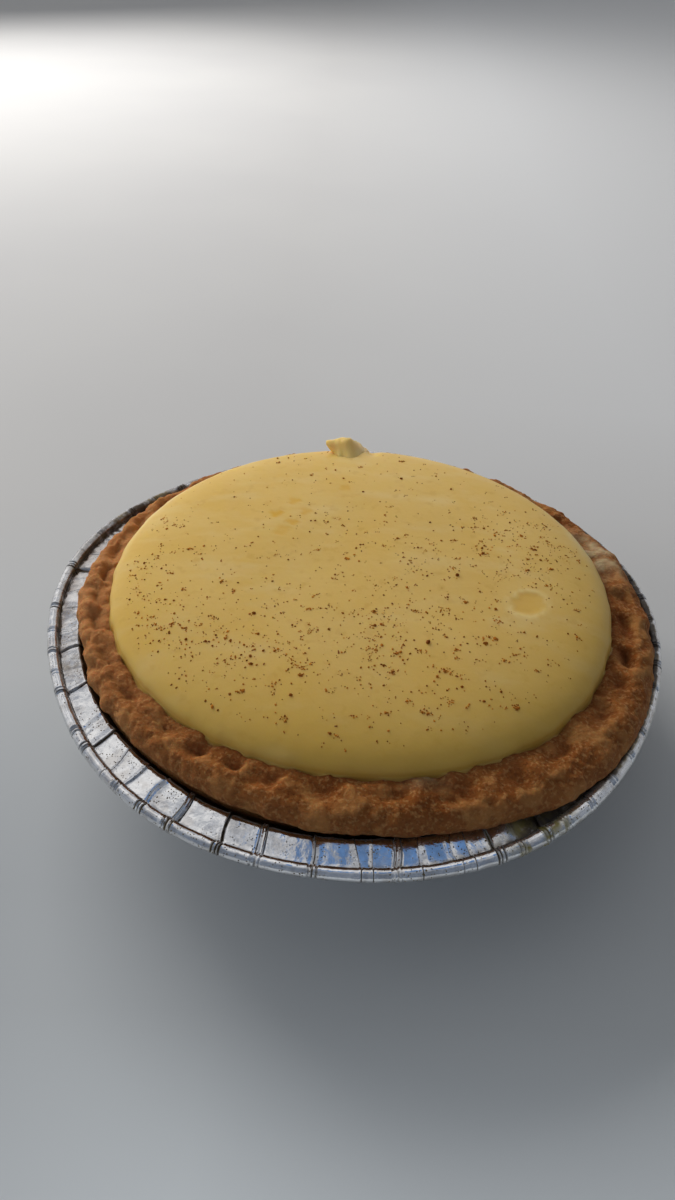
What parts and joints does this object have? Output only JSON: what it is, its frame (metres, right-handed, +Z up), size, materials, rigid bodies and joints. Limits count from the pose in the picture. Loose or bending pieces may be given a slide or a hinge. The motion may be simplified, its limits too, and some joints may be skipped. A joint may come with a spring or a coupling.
{
  "type": "custard tart",
  "caption": "Custard tart: a crimped shortcrust case of set custard dusted with nutmeg, in its own round foil tin with a wrinkled flange and rolled rim.",
  "frame": {"origin": "on the table, under the middle of the tin: the bottom centre of the object's box", "axes": "+Z up, out of the filling; -Y is the front of the tart, nearest to the camera in the picture; +X is its right-hand side"},
  "size_m": [0.119, 0.1206, 0.0349],
  "materials": {
    "foil": "bright thin foil, creased, with baked specks",
    "shortcrust": "golden-brown baked pastry, rough and crumbly",
    "custard": "pale yellow set custard with a soft satin skin, dusted with nutmeg"
  },
  "bodies": {
    "root": {"foil_tin": "foil", "pastry_crust": "shortcrust", "custard_filling": "custard"}
  },
  "joints": []
}
